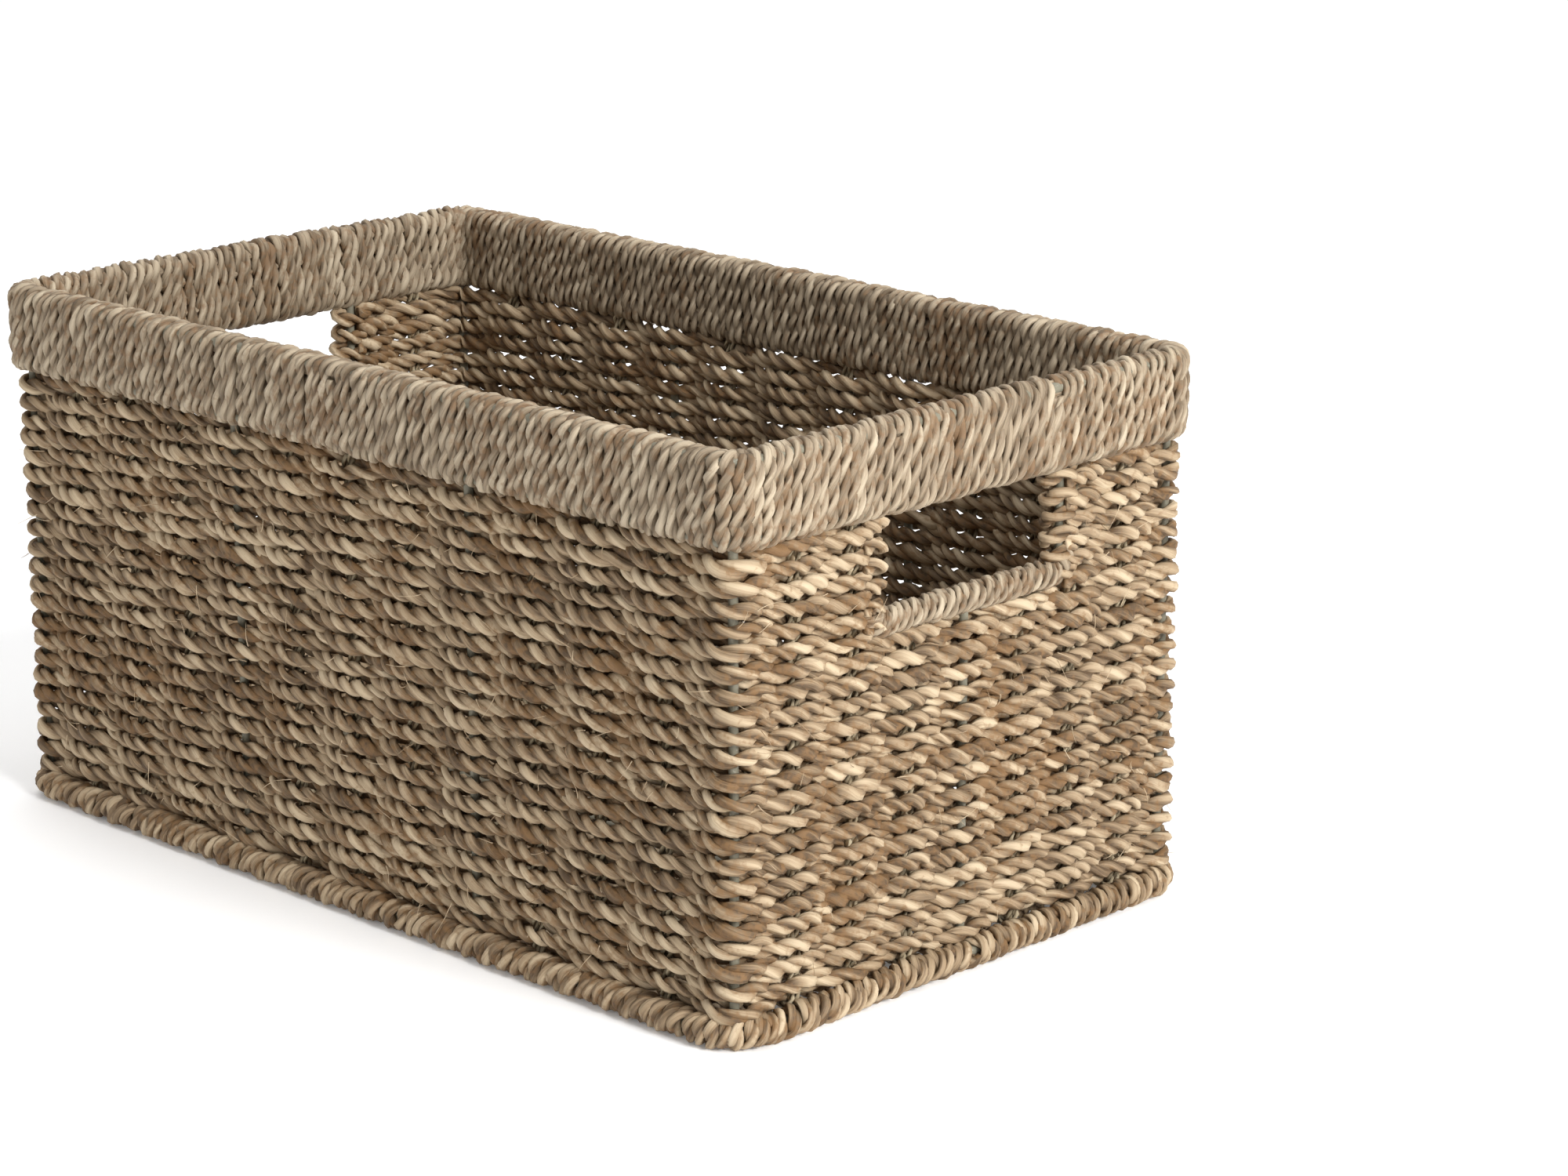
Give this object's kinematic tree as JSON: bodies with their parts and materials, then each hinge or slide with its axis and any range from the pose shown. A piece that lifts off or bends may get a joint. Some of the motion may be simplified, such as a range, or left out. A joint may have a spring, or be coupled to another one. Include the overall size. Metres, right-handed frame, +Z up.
{
  "type": "storage basket",
  "caption": "Open rectangular woven seagrass storage basket on a wire frame, with a wrapped rim, a hand hole in each end wall and a wrapped foot.",
  "frame": {"origin": "middle of the footprint, on the ground", "axes": "+X along the long side towards the right end, +Y towards the back long wall, +Z up"},
  "size_m": [0.384, 0.229, 0.195],
  "materials": {
    "painted_wire": "matt grey-olive paint",
    "seagrass_stake": "dry twisted plant fibre",
    "seagrass_weave": "dry twisted plant fibre",
    "seagrass_wrap": "dry twisted plant fibre"
  },
  "bodies": {
    "root": {"base_ring_wire": "painted_wire", "rim_lower_wire": "painted_wire", "rim_top_wire": "painted_wire", "cross_wire_left": "painted_wire", "cross_wire_right": "painted_wire", "length_wire": "painted_wire", "corner_wire_front_left": "painted_wire", "corner_wire_back_left": "painted_wire", "corner_wire_front_right": "painted_wire", "corner_wire_back_right": "painted_wire", "handle_frame_left": "painted_wire", "handle_frame_right": "painted_wire", "cross_cord_1": "seagrass_stake", "cross_cord_2": "seagrass_stake", "cross_cord_3": "seagrass_stake", "cross_cord_4": "seagrass_stake", "cross_cord_5": "seagrass_stake", "cross_cord_6": "seagrass_stake", "cross_cord_7": "seagrass_stake", "cross_cord_8": "seagrass_stake", "cross_cord_9": "seagrass_stake", "length_cord_1": "seagrass_stake", "length_cord_2": "seagrass_stake", "length_cord_3": "seagrass_stake", "length_cord_4": "seagrass_stake", "length_cord_5": "seagrass_stake", "length_cord_6": "seagrass_stake", "floor_weave": "seagrass_weave", "lower_wall_weave": "seagrass_weave", "upper_weave_front": "seagrass_weave", "upper_weave_back": "seagrass_weave", "foot_wrap": "seagrass_wrap", "rim_wrap_front": "seagrass_wrap", "rim_wrap_back": "seagrass_wrap", "grip_wrap_left": "seagrass_wrap", "grip_wrap_right": "seagrass_wrap", "handle_bar_wrap_left": "seagrass_wrap", "handle_bar_wrap_right": "seagrass_wrap"}
  },
  "joints": []
}
